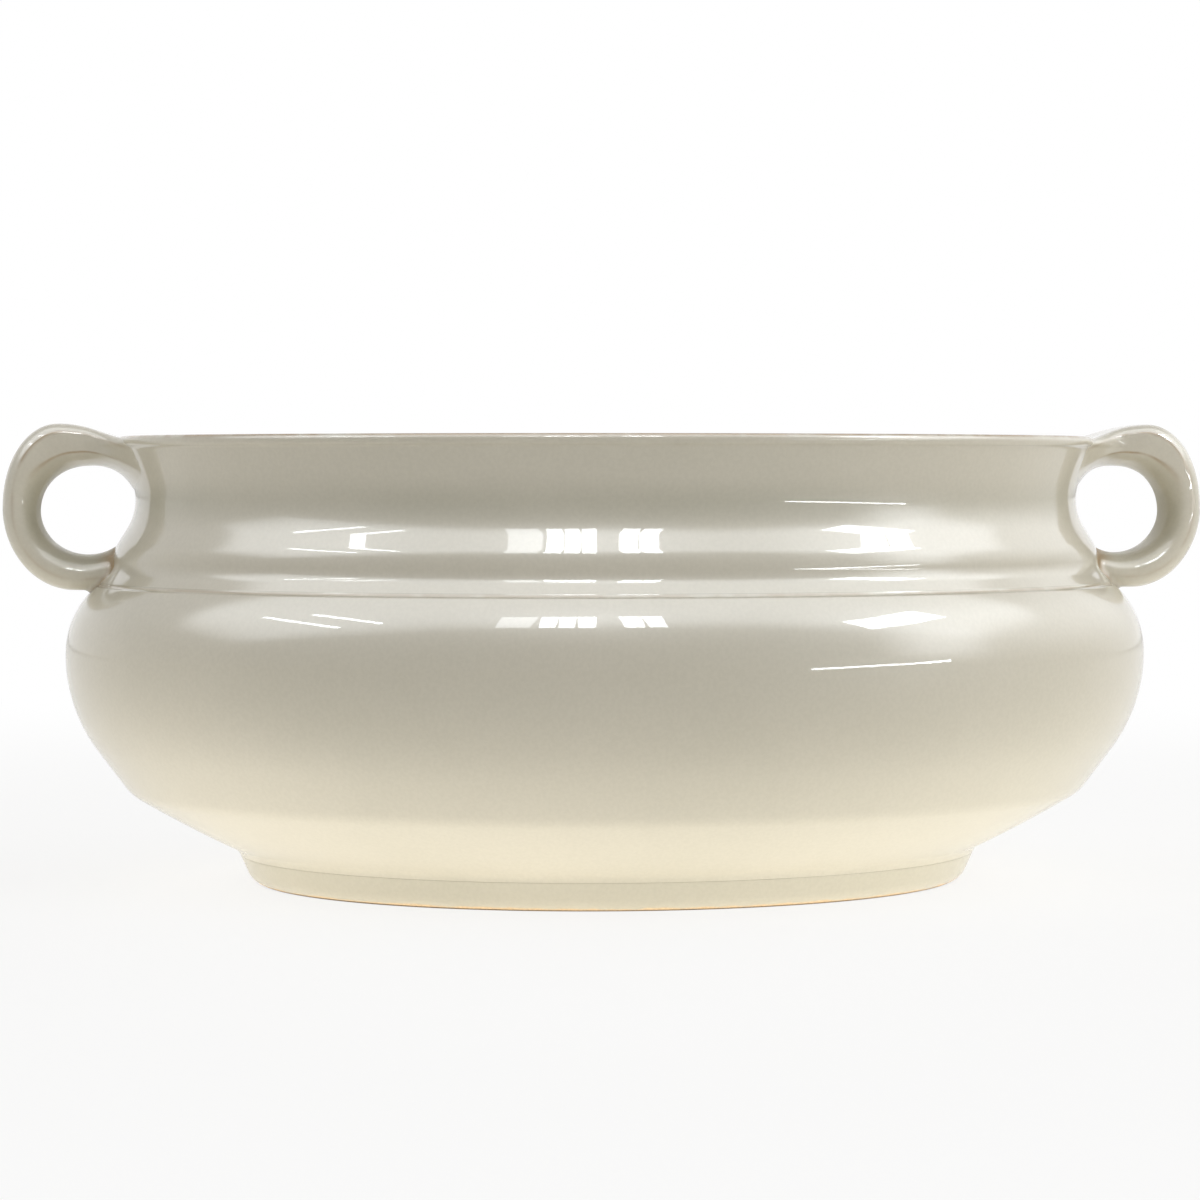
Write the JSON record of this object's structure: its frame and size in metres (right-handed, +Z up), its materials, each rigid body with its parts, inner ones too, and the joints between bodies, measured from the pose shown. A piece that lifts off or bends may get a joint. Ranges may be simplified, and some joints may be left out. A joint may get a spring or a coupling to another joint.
{
  "type": "planter bowl",
  "caption": "Oval glazed ceramic planter bowl with a waisted collar, rolled lip, low foot ring and a strap loop handle at each end.",
  "frame": {"origin": "on the surface that the planter stands on, under the middle of the oval bowl", "axes": "+X along the bowl's length towards the right handle, +Y towards the back as pictured, +Z up"},
  "size_m": [0.3778, 0.2374, 0.1432],
  "materials": {
    "glaze": "gloss",
    "foot_glaze": "gloss",
    "handle_glaze": "gloss"
  },
  "bodies": {
    "root": {"bowl": "glaze", "foot_ring": "foot_glaze", "handle_left": "handle_glaze", "handle_right": "handle_glaze"}
  },
  "joints": []
}
